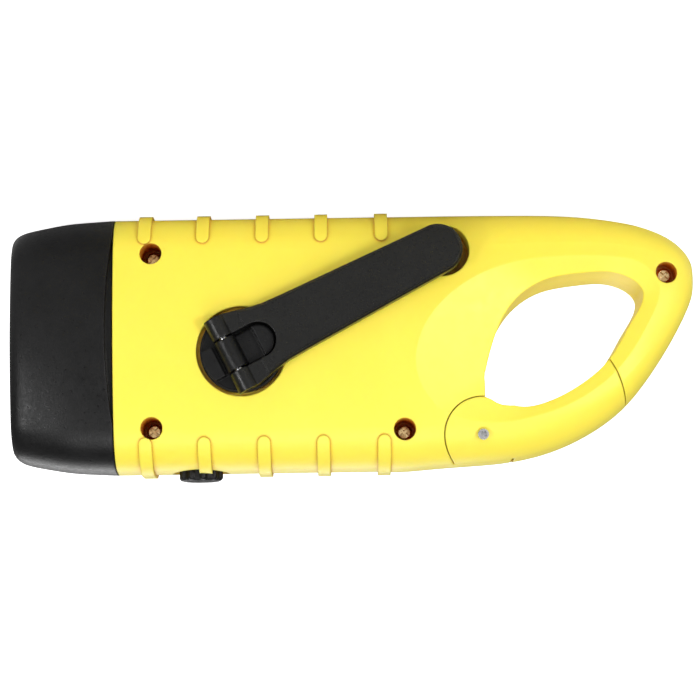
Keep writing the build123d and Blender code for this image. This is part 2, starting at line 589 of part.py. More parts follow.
# ---------------------------------------------------------------- crank
def hub_lug():
    """What stands on the hub's disc, drawn along the arm: the middle knuckle of the hinge on its
    foot, a pad behind it and a rounded stop in front of it, joined by a low bridge."""
    top, base = -HINGE_Y, -HUB_FACE_Y
    knuckle = Pos(-HINGE_BACK, 0, top) * Rot(90, 0, 0) * Cylinder(KNUCKLE_R, 2 * LUG_HALF)
    solid = knuckle + lug_block((-HINGE_BACK - KNUCKLE_R, -HINGE_BACK + KNUCKLE_R), top - base)
    solid += lug_block((-LUG_REACH, SLOT_X), BRIDGE_H) + lug_block(PAD_X, PAD_H)
    stop = lug_block((SLOT_X, SLOT_X + LUG_HALF), STOP_H)
    solid += stop & (Pos(SLOT_X, 0, base) * Cylinder(LUG_HALF, 4 * STOP_H))
    return solid & Cylinder(LUG_REACH, 80)


def lug_block(x, height):
    """Block of the lug's width on the hub's disc, sunk into it a little."""
    sunk = 0.3
    middle = -HUB_FACE_Y + (height - sunk) / 2
    return Pos((x[0] + x[1]) / 2, 0, middle) * Box(x[1] - x[0], 2 * LUG_HALF, height + sunk)


def crank_hub():
    """Round hub with a shaft, and a lug that carries the arm's hinge."""
    disc = bar(CRANK_X, CRANK_Z, HUB_R, HUB_FACE_Y, HUB_BACK_Y)
    disc += bar(CRANK_X, CRANK_Z, SHAFT_R, HUB_BACK_Y, CAM_Y[0])
    disc += bar(CRANK_X, CRANK_Z, STUB_R, CAM_Y[0], CAM_Y[1])
    pin = Pos(-HINGE_BACK, 0, -HINGE_Y) * Rot(90, 0, 0) * Cylinder(PIN_R + RUN, 40)
    thread = bar(CRANK_X, CRANK_Z, STUB_SCREW_R, CAM_Y[1] - STUB_SCREW_L - 1, CAM_Y[1] + 1)
    return disc + on_arm(hub_lug()) - on_arm(pin) - thread


def arm_outline():
    """Plan of the crank arm: round tip, straight sides and a root that follows the hub."""
    points = [(ARM_REACH - ARM_TIP_BACK, ARM_TIP_HALF), *ARM_SIDE, (-HINGE_BACK, HINGE_HALF)]
    lower = [(x, -y) for x, y in reversed(points)]
    edges = Polyline(*points) + Line(points[-1], lower[0]) + Polyline(*lower)
    return make_face(edges + ThreePointArc(lower[-1], (ARM_REACH + ARM_TIP_R, 0), points[0]))


def crank_arm():
    """Folding arm with a fork and two outer knuckles at its root."""
    under = -ARM_UNDER_Y
    plate = Pos(0, 0, under) * extrude(arm_outline(), ARM_THICK)
    face = under + ARM_THICK
    plate = chamfer(plate.edges().filter_by_position(Axis.Z, face - 0.01, face + 0.01), ARM_EDGE)
    plate -= Pos((ROOT_X[0] + ROOT_X[1]) / 2, 0, face) * Box(ROOT_X[1] - ROOT_X[0], 30, 2 * ROOT_DROP)
    knuckles = Pos(-HINGE_BACK, 0, -HINGE_Y) * Rot(90, 0, 0) * Cylinder(KNUCKLE_R, 2 * HINGE_HALF)
    slot = Pos((SLOT_X - HUB_R) / 2, 0, under) * Box(SLOT_X + HUB_R, 2 * SLOT_R, 3 * ARM_THICK)
    slot += Pos(SLOT_X, 0, under) * Cylinder(SLOT_R, 3 * ARM_THICK)
    pin = Pos(-HINGE_BACK, 0, -HINGE_Y) * Rot(90, 0, 0) * Cylinder(PIN_R, 40)
    screw = Pos(ARM_REACH, 0, under) * Cylinder(KNOB_SCREW_R, 2 * KNOB_SCREW_DEEP)
    hollow = Pos(ARM_HOLLOW[0], 0, under) * Box(*ARM_HOLLOW[1:])
    seat = Pos(ARM_REACH, 0, under) * Cylinder(*ARM_SEAT)
    return on_arm(plate + knuckles - slot - pin - hollow - seat - screw)


def arm_hinge_pin():
    """Steel pin of the crank's fold."""
    return on_arm(Pos(-HINGE_BACK, 0, -HINGE_Y) * Rot(90, 0, 0) * Cylinder(PIN_R, 2 * HINGE_HALF - 0.6))


def crank_knob():
    """Round grip that turns on a screw under the arm's tip."""
    top = ARM_UNDER_Y + 0.3
    solid = bar(*KNOB_AT, KNOB_R, top, KNOB_END_Y)
    solid = chamfer(solid.edges().filter_by(GeomType.CIRCLE), 0.8)
    solid -= bar(*KNOB_AT, KNOB_SCREW_R + RUN, top - 1, KNOB_END_Y + 1)
    return solid - bar(*KNOB_AT, KNOB_SINK_R, KNOB_END_Y - KNOB_SINK, KNOB_END_Y + 1)


def knob_screw():
    """Shoulder screw that carries the grip, with its head in the grip's end."""
    head_y = KNOB_END_Y - KNOB_SINK + GAP
    solid = bar(*KNOB_AT, KNOB_SCREW_R, ARM_UNDER_Y - KNOB_SCREW_DEEP + 0.1, head_y)
    return solid + bar(*KNOB_AT, KNOB_HEAD_R, head_y, KNOB_END_Y - 0.5)


def hub_screw():
    """Screw in the end of the crank's shaft."""
    head_y = CAM_Y[1] + WASHER_H
    shank = bar(CRANK_X, CRANK_Z, STUB_SCREW_R, CAM_Y[1] - STUB_SCREW_L, head_y)
    return shank + bar(CRANK_X, CRANK_Z, STUB_HEAD_R, head_y, head_y + 1.4)


def hub_washer():
    """Washer that keeps the cam on the shaft."""
    disc = bar(CRANK_X, CRANK_Z, WASHER_R, CAM_Y[1], CAM_Y[1] + WASHER_H)
    return disc - bar(CRANK_X, CRANK_Z, STUB_SCREW_R + RUN, CAM_Y[1] - 1, CAM_Y[1] + 1)


# ---------------------------------------------------------------- generator
def gear_plate():
    """Plate that carries the axles' far ends and the generator."""
    blocks = [block(x, PLATE_Y, z) for x, z in PLATE_PARTS]
    plate = blocks[0] + blocks[1:]
    upright_edges = plate.edges().filter_by(Axis.Y).sort_by(Axis.X)
    plate = fillet(upright_edges[:2] + upright_edges[-2:], 2.5)
    y = (PLATE_Y[0] - 1, PLATE_Y[1] + 1)
    plate -= [bar(x, z, PLATE_THREAD_R + 0.15, *y) for x, z in POSTS]
    plate -= [bar(*centre, AXLE_R, *y) for centre in (IDLER_A, IDLER_B)]
    return plate - bar(*ROTOR, ROTOR_SHAFT_R + RUN, *y)


def plate_screw(x, z):
    """Small screw of the gear plate."""
    shank = bar(x, z, PLATE_THREAD_R, PLATE_Y[0] - 5, PLATE_Y[1])
    return shank + bar(x, z, PLATE_HEAD_R, PLATE_Y[1], PLATE_Y[1] + PLATE_HEAD_H)


def gear_axles():
    """Two fixed axles for the idler gears."""
    return [bar(*centre, AXLE_R, AXLE_START_Y, PLATE_Y[1]) for centre in (IDLER_A, IDLER_B)]


def generator_can():
    """Steel cup of the generator."""
    cup = bar(*ROTOR, CAN_R, PLATE_Y[1], CAN_END_Y)
    cup -= bar(*ROTOR, CAN_R - CAN_WALL, PLATE_Y[1] - 1, CAN_END_Y - CAN_WALL)
    return cup - bar(*ROTOR, ROTOR_SHAFT_R + RUN, 0, CAN_END_Y + 1)


def stator_coil():
    """Wound ring inside the can."""
    ring = bar(*ROTOR, CAN_R - CAN_WALL, PLATE_Y[1] + 1.2, CAN_END_Y - CAN_WALL)
    return ring - bar(*ROTOR, COIL_R, PLATE_Y[1] - 1, CAN_END_Y)


def rotor_magnet():
    """Ring magnet on the rotor's shaft."""
    y = (PLATE_Y[1] + 1.6, CAN_END_Y - CAN_WALL - 0.8)
    return bar(*ROTOR, MAGNET_R, *y) - bar(*ROTOR, ROTOR_SHAFT_R, *y)


def rotor_pinion():
    """Small brass gear on the rotor's shaft."""
    solid = gear(ROTOR, PINION_TEETH, ROTOR_PHASE, ROTOR_PINION_Y)
    return solid - bar(*ROTOR, ROTOR_SHAFT_R, ROTOR_PINION_Y[0] - 1, ROTOR_PINION_Y[1] + 1)


# ---------------------------------------------------------------- head
def bezel_ring():
    """Black bezel in front of the body, with a shallow scallop in its rear edge."""
    outer = Solid.make_loft([section(x, half_z, half_y) for x, half_z, half_y in BEZEL])
    inner = Solid.make_loft([
        section(x, half_z, half_y)
        for x, half_z, half_y in (
            (BEZEL[0][0] - 0.5, NECK[0] + 0.15, NECK[1] + 0.15),
            (NECK_END_X + 1.0, NECK[0] + 0.15, NECK[1] + 0.15),
            INNER_TURN,
            (GASKET_X[1], LENS[0] + 0.1, LENS[1] + 0.1),
        )
    ], ruled=True)
    ring = outer - inner - section_bar(GASKET_X[1] - 1, FRONT_X + 1, *WINDOW)
    scallop = bar(BEZEL[0][0] + SCALLOP_DEPTH - SCALLOP_R, SCALLOP_Z, SCALLOP_R, -CLEAR_Y, CLEAR_Y)
    kept = section_bar(BODY_FRONT_X, NECK_END_X, NECK[0] + SLEEVE, NECK[1] + SLEEVE)
    return ring - (scallop - kept)


def reflector():
    """One plated moulding with a bowl for each LED."""
    solid = section_bar(*REFLECTOR_X, LENS[0] - 0.6, LENS[1] - 0.6)
    depth = REFLECTOR_X[1] - REFLECTOR_X[0]
    for z in BOWL_Z:
        curve = Spline((0, BOWL_ROOT_R), (depth * 0.4, BOWL_MIDDLE_R), (depth, BOWL_R))
        profile = make_face(curve + Polyline((depth, BOWL_R), (depth, 0), (0, 0), (0, BOWL_ROOT_R)))
        bowl = revolve(profile, Axis.X, 360)
        solid -= Pos(REFLECTOR_X[0], 0, AXIS_Z + z) * bowl
    return solid


def led(z):
    """Domed LED on the board."""
    base = Pos(LED_BOARD_X[1] + LED_BASE / 2, 0, 0) * Rot(0, 90, 0) * Cylinder(LED_R, LED_BASE)
    dome = Pos(LED_BOARD_X[1] + LED_BASE, 0, 0) * Sphere(LED_R)
    return Pos(0, 0, AXIS_Z + z) * (base + dome)


# ---------------------------------------------------------------- switch and electrics
def switch_knob():
    """Low round knob with nubs round its rim and a stem into the switch."""
    low = SWITCH_SEAT + GAP
    disc = upright(SWITCH_R - NUB_OUT, low, SWITCH_TOP)
    disc = chamfer(disc.edges().filter_by(GeomType.CIRCLE).sort_by(Axis.Z)[-1], 0.6)
    for step in range(NUBS):
        x, y = polar(0, 0, SWITCH_R - NUB_R, 360 / NUBS * step + 9)
        dome_z = SWITCH_TOP - NUB_R - 0.1
        disc += Pos(x, y, 0) * upright(NUB_R, low, dome_z)
        disc += Pos(SWITCH_X + x, y, AXIS_Z + dome_z) * Sphere(NUB_R)
    bar_of_grip = Pos(SWITCH_X, 0, AXIS_Z + SWITCH_TOP) * Box(2 * GRIP_R, GRIP_BAR, 4)
    grip = upright(GRIP_R, SWITCH_TOP - GRIP_DEEP, SWITCH_TOP + 1) - bar_of_grip
    return disc - grip + upright(STEM_R, STEM_END_Z, low + 0.2)


def switch_body():
    """Rotary switch under the knob, soldered to the board."""
    case = block((SWITCH_X - SWITCH_HALF, SWITCH_X + SWITCH_HALF), (-SWITCH_HALF, BOARD_Y[0]), SWITCH_BODY_Z)
    collar = upright(COLLAR_R, *SWITCH_COLLAR_Z)
    return case + collar - upright(STEM_R + RUN, STEM_END_Z - 0.4, SWITCH_COLLAR_Z[1] + 1)


def control_board():
    """Circuit board on three posts of the far shell."""
    board = block(BOARD_X, BOARD_Y, BOARD_Z)
    for x, z in BOARD_SCREWS:
        board -= bar(x, z, BOARD_THREAD_R + 0.2, BOARD_Y[0] - 1, BOARD_Y[1] + 1)
    return board


def board_parts():
    """Chip, capacitor and coil on the board."""
    chip = block(CHIP_X, (BOARD_Y[0] - CHIP_H, BOARD_Y[0]), CHIP_Z)
    cans = [bar(x, z, radius, BOARD_Y[0] - height, BOARD_Y[0]) for x, z, radius, height in BOARD_CANS]
    return [chip, *cans]


def board_screw(x, z):
    """Small screw of the circuit board."""
    shank = bar(x, z, BOARD_THREAD_R, BOARD_Y[0], BOARD_HOLE_END_Y - 0.5)
    return shank + bar(x, z, BOARD_HEAD_R, BOARD_Y[0] - BOARD_HEAD_H, BOARD_Y[0])


def battery_cells():
    """Three rechargeable cells end to end."""
    length = (BATTERY_X[1] - BATTERY_X[0]) / CELLS
    cells = []
    for index in range(CELLS):
        x = BATTERY_X[0] + length * (index + 0.5)
        cell = Rot(0, 90, 0) * Cylinder(BATTERY_R - 0.3, length - 0.2)
        cells.append(Pos(x, BATTERY_Y, AXIS_Z + BATTERY_Z) * cell)
    return cells


# ---------------------------------------------------------------- assembly
def save(name, shape):
    """Writes one node's solids to its file."""
    pieces = shape if isinstance(shape, list) else [whole(shape)]
    solids = [solid for piece in pieces for solid in piece.solids()]
    node = solids[0] if len(solids) == 1 else Compound(children=solids)
    export_step(Pos(0, CENTRE_Y, 0) * node, f"parts/{name}.step")


def main():
    """Builds every node."""
    os.makedirs("parts", exist_ok=True)
    blank = body_blank()
    save("shell_crank_side", shell(blank, -1))
    save("shell_far_side", shell(blank, 1))
    save("carabiner_gate", carabiner_gate(blank))
    save("gate_pivot_screw", gate_pivot_screw())
    save("gate_spring", gate_spring())
    save("body_screws", [body_screw(*place) for place in SCREWS])
    save("bezel_ring", bezel_ring())
    save("lens", section_bar(*LENS_X, *LENS))
    gasket = section_bar(*GASKET_X, *LENS) - section_bar(GASKET_X[0] - 1, GASKET_X[1] + 1, *WINDOW)
    save("lens_gasket", gasket)
    save("reflector", reflector())
    save("led_board", section_bar(*LED_BOARD_X, LENS[0] - 1.5, LENS[1] - 1.5))
    save("leds", [led(z) for z in BOWL_Z])
    save("switch_knob", switch_knob())
    save("switch_body", switch_body())
    save("control_board", control_board())
    save("board_parts", board_parts())
    save("board_screws", [board_screw(x, z) for x, z in BOARD_SCREWS])
    save("battery_cells", battery_cells())
    save("crank_hub", crank_hub())
    save("crank_arm", crank_arm())
    save("arm_hinge_pin", arm_hinge_pin())
    save("crank_knob", crank_knob())
    save("knob_screw", knob_screw())
    save("hub_washer", hub_washer())
    save("hub_screw", hub_screw())
    save("clutch_cam", clutch_cam())
    save("clutch_rollers", clutch_rollers())
    save("drive_gear", drive_gear())
    save("idler_gear_a", idler(IDLER_A, A_PHASE, A_PINION_Y, A_WHEEL_Y))
    save("idler_gear_b", idler(IDLER_B, B_PHASE, B_PINION_Y, B_WHEEL_Y))
    save("gear_axles", gear_axles())
    save("gear_plate", gear_plate())
    save("plate_screws", [plate_screw(x, z) for x, z in POSTS])
    save("generator_can", generator_can())
    save("stator_coil", stator_coil())
    save("rotor_shaft", bar(*ROTOR, ROTOR_SHAFT_R, ROTOR_START_Y, CAN_END_Y + 0.4))
    save("rotor_magnet", rotor_magnet())
    save("rotor_pinion", rotor_pinion())


main()
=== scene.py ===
"""Looks of the hand crank flashlight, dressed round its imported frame.

The torch stands on the ribs of its straight edge, with its light towards +X, its rotary switch on
top and its folded crank on the -Y side, which the camera faces. Every length here is in metres.
"""

import json
import logging
import math
from dataclasses import dataclass
from enum import Enum

import bpy
from mathutils import Euler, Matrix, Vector

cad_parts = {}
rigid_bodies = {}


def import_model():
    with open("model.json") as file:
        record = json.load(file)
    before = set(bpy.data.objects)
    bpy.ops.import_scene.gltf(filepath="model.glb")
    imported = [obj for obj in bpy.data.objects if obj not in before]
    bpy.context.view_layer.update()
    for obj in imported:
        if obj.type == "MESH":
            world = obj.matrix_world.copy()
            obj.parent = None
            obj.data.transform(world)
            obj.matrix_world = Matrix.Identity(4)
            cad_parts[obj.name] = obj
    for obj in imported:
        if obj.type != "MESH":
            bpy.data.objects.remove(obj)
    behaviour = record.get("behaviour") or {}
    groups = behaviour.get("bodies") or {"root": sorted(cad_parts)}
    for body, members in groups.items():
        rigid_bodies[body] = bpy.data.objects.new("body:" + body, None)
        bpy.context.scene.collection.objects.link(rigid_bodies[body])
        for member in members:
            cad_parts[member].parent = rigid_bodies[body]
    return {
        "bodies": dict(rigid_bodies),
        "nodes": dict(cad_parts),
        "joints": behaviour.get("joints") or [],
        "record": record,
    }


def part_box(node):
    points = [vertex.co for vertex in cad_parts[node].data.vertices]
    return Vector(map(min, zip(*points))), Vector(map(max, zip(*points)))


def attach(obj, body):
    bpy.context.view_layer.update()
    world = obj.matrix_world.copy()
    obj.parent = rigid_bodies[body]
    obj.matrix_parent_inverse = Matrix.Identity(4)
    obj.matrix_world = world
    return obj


LOG = logging.getLogger("flashlight")
MM = 0.001

Colour = tuple[float, float, float]


# ---------------------------------------------------------------- node graphs
class Graph:
    """One material's nodes, with short calls for the patterns that the finishes share."""

    def __init__(self, name: str) -> None:
        """Starts an empty material.

        Args:
            name: Name of the material.
        """
        self.material = bpy.data.materials.new(name)
        self.material.use_nodes = True
        self.tree = self.material.node_tree
        self.tree.nodes.clear()
        self.output = self.tree.nodes.new("ShaderNodeOutputMaterial")
        self.place = self.tree.nodes.new("ShaderNodeTexCoord").outputs["Object"]

    def add(self, kind: str, **settings: object) -> bpy.types.Node:
        """Adds a node.

        Args:
            kind: Blender's name of the node's type.
            **settings: Its properties.

        Returns:
            The new node.
        """
        node = self.tree.nodes.new(kind)
        for key, value in settings.items():
            setattr(node, key, value)
        return node

    def link(self, source: bpy.types.NodeSocket, target: bpy.types.NodeSocket) -> None:
        """Joins two sockets."""
        self.tree.links.new(source, target)

    def noise(self, scale: float, detail: float = 2.0, roughness: float = 0.5) -> bpy.types.NodeSocket:
        """A noise on the object's own coordinates.

        Args:
            scale: Waves per metre.
            detail: Octaves of finer noise.
            roughness: Weight of the finer octaves.

        Returns:
            The noise's value socket.
        """
        node = self.add("ShaderNodeTexNoise")
        self.link(self.place, node.inputs["Vector"])
        node.inputs["Scale"].default_value = scale
        node.inputs["Detail"].default_value = detail
        node.inputs["Roughness"].default_value = roughness
        return node.outputs["Fac"]

    def cells(self, scale: float) -> bpy.types.NodeSocket:
        """Distance to the nearest cell centre of a Voronoi pattern with this many cells per metre."""
        node = self.add("ShaderNodeTexVoronoi")
        self.link(self.place, node.inputs["Vector"])
        node.inputs["Scale"].default_value = scale
        return node.outputs["Distance"]

    def spread(self, value: bpy.types.NodeSocket, span: tuple[float, float],
               to: tuple[float, float]) -> bpy.types.NodeSocket:
        """Maps a value from one span to another, clamped.

        Args:
            value: Socket to map.
            span: Lowest and highest input.
            to: What they become.

        Returns:
            The mapped value's socket.
        """
        node = self.add("ShaderNodeMapRange")
        self.link(value, node.inputs["Value"])
        for key, number in zip(("From Min", "From Max", "To Min", "To Max"), (*span, *to)):
            node.inputs[key].default_value = number
        return node.outputs["Result"]

    def mix(self, share: bpy.types.NodeSocket, low: Colour, high: Colour) -> bpy.types.NodeSocket:
        """Mixes two colours by a share from 0 to 1."""
        node = self.add("ShaderNodeMix", data_type="RGBA")
        self.link(share, node.inputs["Factor"])
        node.inputs["A"].default_value = (*low, 1.0)
        node.inputs["B"].default_value = (*high, 1.0)
        return node.outputs["Result"]

    def paint_cavity_shade(self, surface: bpy.types.NodeSocket, painted_shade: Colour, reach: float) -> bpy.types.NodeSocket:
        """Paints shade into a colour where the plastic shades itself, darker and more orange towards the
        bottom of holes and gaps.

        Args:
            surface: Colour out in the open.
            painted_shade: Colour of the painted shade at the bottom of a hole or a gap.
            reach: How far off a wall still counts, in metres.

        Returns:
            The colour's socket.
        """
        # Painted shade: the colour is mixed towards a darker, more orange one where nearby walls occlude
        shade = self.add("ShaderNodeAmbientOcclusion", samples=6, only_local=True)
        shade.inputs["Distance"].default_value = reach
        node = self.add("ShaderNodeMix", data_type="RGBA")
        self.link(self.spread(shade.outputs["AO"], (0.25, 0.8), (0.0, 1.0)), node.inputs["Factor"])
        node.inputs["A"].default_value = (*painted_shade, 1.0)
        self.link(surface, node.inputs["B"])
        return node.outputs["Result"]

    def bump(self, height: bpy.types.NodeSocket, distance: float, strength: float,
             under: bpy.types.NodeSocket | None = None) -> bpy.types.NodeSocket:
        """A normal from a height pattern.

        Args:
            height: Pattern from 0 to 1.
            distance: Height of a step from 0 to 1, in metres.
            strength: Share of that height that is used.
            under: Normal of a coarser shape below it.

        Returns:
            The normal's socket.
        """
        node = self.add("ShaderNodeBump")
        node.inputs["Distance"].default_value = distance
        node.inputs["Strength"].default_value = strength
        self.link(height, node.inputs["Height"])
        if under is not None:
            self.link(under, node.inputs["Normal"])
        return node.outputs["Normal"]

    def soft_edges(self, radius: float) -> bpy.types.NodeSocket:
        """A normal that rounds sharp edges by a radius in metres."""
        node = self.add("ShaderNodeBevel", samples=6)
        node.inputs["Radius"].default_value = radius
        return node.outputs["Normal"]

    def shader(self, **values: object) -> bpy.types.Node:
        """Adds the surface shader and joins it to the output.

        Args:
            **values: Plain numbers and colours for its sockets, with _ for a space in a name.

        Returns:
            The shader's node.
        """
        node = self.add("ShaderNodeBsdfPrincipled")
        for key, value in values.items():
            socket = node.inputs[key.replace("_", " ")]
            socket.default_value = (*value, 1.0) if isinstance(value, tuple) else value
        self.link(node.outputs["BSDF"], self.output.inputs["Surface"])
        return node


# ---------------------------------------------------------------- finishes
@dataclass(frozen=True)
class MouldedPlastic:
    """Injection moulded plastic with a faint mottle, fine grain and soft edges, and, where a colour is
    given for it, painted shade in holes and gaps.
    """

    name: str
    colour: Colour
    shade: Colour
    roughness: tuple[float, float]
    mottle: float = 60.0
    grain: float = 1800.0
    grain_depth: float = 0.00003
    grain_strength: float = 0.2
    edge: float = 0.0004
    specular: float = 0.5
    glow: float = 0.0
    sink: float = 0.0
    # Painted shade: a darker colour mixed in near walls in holes and gaps, out to the given distance
    painted_cavity_shade: Colour | None = None
    reach: float = 0.005

    def build(self) -> bpy.types.Material:
        """Builds the material.

        Returns:
            The finished material.
        """
        graph = Graph(self.name)
        mottle = graph.spread(graph.noise(self.mottle, 4.0, 0.6), (0.35, 0.65), (0.0, 1.0))
        grain = graph.noise(self.grain, 3.0, 0.6)
        shader = graph.shader(Specular_IOR_Level=self.specular, Subsurface_Weight=self.glow,
                              Subsurface_Scale=self.sink or 0.001)
        if self.glow:
            shader.inputs["Subsurface Radius"].default_value = (1.0, 0.55, 0.1)
        surface = graph.mix(mottle, self.shade, self.colour)
        if self.painted_cavity_shade:
            surface = graph.paint_cavity_shade(surface, self.painted_cavity_shade, self.reach)
        graph.link(surface, shader.inputs["Base Color"])
        fine = graph.spread(graph.noise(self.grain * 0.5, 3.0, 0.7), (0.3, 0.7), self.roughness)
        graph.link(fine, shader.inputs["Roughness"])
        edges = graph.soft_edges(self.edge)
        normal = graph.bump(grain, self.grain_depth, self.grain_strength, edges)
        graph.link(normal, shader.inputs["Normal"])
        return graph.material


@dataclass(frozen=True)
class Metal:
    """Plated or turned metal with fine lines and a few duller patches."""

    name: str
    colour: Colour
    tarnish: Colour
    roughness: tuple[float, float]
    lines: float = 2600.0
    depth: float = 0.000012
    edge: float = 0.00015

    def build(self) -> bpy.types.Material:
        """Builds the material.

        Returns:
            The finished material.
        """
        graph = Graph(self.name)
        patches = graph.spread(graph.noise(300.0, 4.0, 0.6), (0.4, 0.65), (0.0, 1.0))
        lines = graph.noise(self.lines, 2.0, 0.5)
        shader = graph.shader(Metallic=1.0)
        graph.link(graph.mix(patches, self.colour, self.tarnish), shader.inputs["Base Color"])
        graph.link(graph.spread(patches, (0.0, 1.0), self.roughness), shader.inputs["Roughness"])
        normal = graph.bump(lines, self.depth, 0.35, graph.soft_edges(self.edge))
        graph.link(normal, shader.inputs["Normal"])
        return graph.material


@dataclass(frozen=True)
class ClearPlastic:
    """Clear moulded lens with faint flow marks."""

    name: str
    tint: Colour
    roughness: float = 0.03
    index: float = 1.49

    def build(self) -> bpy.types.Material:
        """Builds the material.

        Returns:
            The finished material.
        """
        graph = Graph(self.name)
        shader = graph.shader(Base_Color=self.tint, Roughness=self.roughness, IOR=self.index,
                              Transmission_Weight=1.0)
        flow = graph.bump(graph.noise(90.0, 2.0, 0.4), 0.00003, 0.2)
        graph.link(flow, shader.inputs["Normal"])
        return graph.material


@dataclass(frozen=True)
class CircuitBoard:
    """Green lacquered board with paler tracks."""

    name: str
    lacquer: Colour
    track: Colour

    def build(self) -> bpy.types.Material:
        """Builds the material.

        Returns:
            The finished material.
        """
        graph = Graph(self.name)
        tracks = graph.spread(graph.cells(420.0), (0.28, 0.32), (1.0, 0.0))
        shader = graph.shader(Roughness=0.35, Coat_Weight=0.3)
        graph.link(graph.mix(tracks, self.lacquer, self.track), shader.inputs["Base Color"])
        normal = graph.bump(tracks, 0.00004, 0.6, graph.soft_edges(0.0001))
        graph.link(normal, shader.inputs["Normal"])
        return graph.material


@dataclass(frozen=True)
class Winding:
    """Enamelled copper wire wound round the generator's axis."""

    name: str
    wire: Colour
    groove: Colour
    wires: float = 1500.0

    def build(self) -> bpy.types.Material:
        """Builds the material.

        Returns:
            The finished material.
        """
        graph = Graph(self.name)
        wave = graph.add("ShaderNodeTexWave", wave_type="BANDS", bands_direction="Y")
        graph.link(graph.place, wave.inputs["Vector"])
        wave.inputs["Scale"].default_value = self.wires
        wave.inputs["Distortion"].default_value = 0.6
        shader = graph.shader(Metallic=0.7, Roughness=0.3)
        graph.link(graph.mix(wave.outputs["Fac"], self.groove, self.wire), shader.inputs["Base Color"])
        graph.link(graph.bump(wave.outputs["Fac"], 0.0001, 0.7), shader.inputs["Normal"])
        return graph.material


YELLOW = MouldedPlastic(
    "yellow_plastic", (0.985, 0.815, 0.085), (0.975, 0.795, 0.075), (0.38, 0.46), mottle=25.0,
    grain=900.0, grain_depth=0.00002, grain_strength=0.12, edge=0.0007, specular=0.42,
    # The orange-brown here is painted shade for holes and gaps
    glow=0.25, sink=0.002, painted_cavity_shade=(0.62, 0.17, 0.004), reach=0.007,
)
BLACK_GRAIN = MouldedPlastic(
    "black_plastic", (0.006, 0.006, 0.0062), (0.0035, 0.0035, 0.0036), (0.26, 0.46), mottle=140.0,
    grain=1900.0, grain_depth=0.0001, grain_strength=0.6, edge=0.0008, specular=0.27,
)
DARK_SATIN = MouldedPlastic(
    "dark_plastic", (0.006, 0.006, 0.0052), (0.004, 0.004, 0.0035), (0.24, 0.4), mottle=90.0,
    grain=2600.0, grain_depth=0.00005, grain_strength=0.4, edge=0.0006, specular=0.36,
)
RUBBER = MouldedPlastic(
    "rubber", (0.03, 0.03, 0.03), (0.022, 0.022, 0.022), (0.6, 0.8), grain=1500.0, specular=0.3,
)
NYLON = MouldedPlastic(
    "nylon", (0.82, 0.80, 0.72), (0.76, 0.74, 0.66), (0.4, 0.55), glow=0.3, sink=0.002,
)
CELL_WRAP = MouldedPlastic(
    "cell_wrap", (0.06, 0.30, 0.12), (0.05, 0.25, 0.10), (0.25, 0.35), grain=500.0,
)
LED_RESIN = MouldedPlastic(
    "led", (0.95, 0.93, 0.80), (0.92, 0.85, 0.45), (0.12, 0.2), grain=400.0, glow=0.4, sink=0.002,
)
STEEL = Metal("steel", (0.72, 0.72, 0.73), (0.5, 0.5, 0.51), (0.18, 0.34))
BRASS_SCREW = Metal("brass_screw", (0.96, 0.72, 0.36), (0.74, 0.48, 0.2), (0.2, 0.38))
BRASS = Metal("brass", (0.85, 0.66, 0.32), (0.70, 0.52, 0.24), (0.2, 0.3))
MAGNET = Metal("magnet", (0.22, 0.22, 0.24), (0.16, 0.16, 0.17), (0.4, 0.55))
CHROME = Metal("plated_plastic", (0.90, 0.90, 0.92), (0.86, 0.86, 0.88), (0.05, 0.12), depth=0.000003)
CLEAR = ClearPlastic("clear_plastic", (0.97, 0.985, 0.99))
BOARD = CircuitBoard("board", (0.02, 0.16, 0.06), (0.10, 0.34, 0.14))
COPPER = Winding("copper", (0.72, 0.30, 0.12), (0.30, 0.10, 0.04))
FINISHES = (
    YELLOW, BLACK_GRAIN, DARK_SATIN, RUBBER, NYLON, CELL_WRAP, LED_RESIN, STEEL, BRASS_SCREW,
    BRASS, MAGNET, CHROME, CLEAR, BOARD, COPPER,
)


class Wardrobe:
    """The finished materials, by the record's slot names."""

    def __init__(self) -> None:
        """Builds every finish once."""
        self.materials = {finish.name: finish.build() for finish in FINISHES}

    def dress(self, piece: bpy.types.Object, slot: str) -> None:
        """Gives a piece one finish all over.

        Args:
            piece: Object to dress.
            slot: The record's material slot.
        """
        piece.data.materials.clear()
        piece.data.materials.append(self.materials[slot])

    def dress_nodes(self, frame: dict) -> None:
        """Gives every carried-over node the finish that its slot names."""
        for part in frame["record"]["subparts"]:
            node = frame["nodes"][part["node"]]
            self.dress(node, part["material_slot"])
            LOG.info("dressed %s in %s", node.name, part["material_slot"])


# ---------------------------------------------------------------- modelled pieces
class Line(Enum):
    """Fine lines that the mould leaves on the torch."""

    ARM_RIM = "arm_rim"
    HUB_RING = "hub_ring"


# Places on the crank: over the lowest y of its arm, and from its axis
RIM_RISE, HUB_RISE = 0.85 * MM, 6.85 * MM
HUB_RING_RADIUS = 11.3 * MM
RIM_TIP, RIM_TIP_RADIUS = 63.0 * MM, 6.3 * MM
RIM_SIDE = ((6.4 * MM, 9.0 * MM), (11.0 * MM, 8.15 * MM), (18.0 * MM, 7.8 * MM))
RIM_THICK, RING_THICK = 0.22 * MM, 0.2 * MM
TIP_STEPS, RING_STEPS = 24, 72


@dataclass(frozen=True)
class ArmFrame:
    """Places on the crank, measured along the arm from the crank's axis."""

    x: float
    z: float
    angle: float = math.radians(26.4)

    def at(self, along: float, across: float, y: float) -> Vector:
        """Gives the place in the shared frame.

        Args:
            along: Metres from the crank's axis towards the arm's tip.
            across: Metres to the side of the arm's middle.
            y: Height over the torch's side, in the shared frame.

        Returns:
            The place.
        """
        ca, sa = math.cos(self.angle), math.sin(self.angle)
        return Vector((self.x - ca * along + sa * across, y, self.z - sa * along - ca * across))


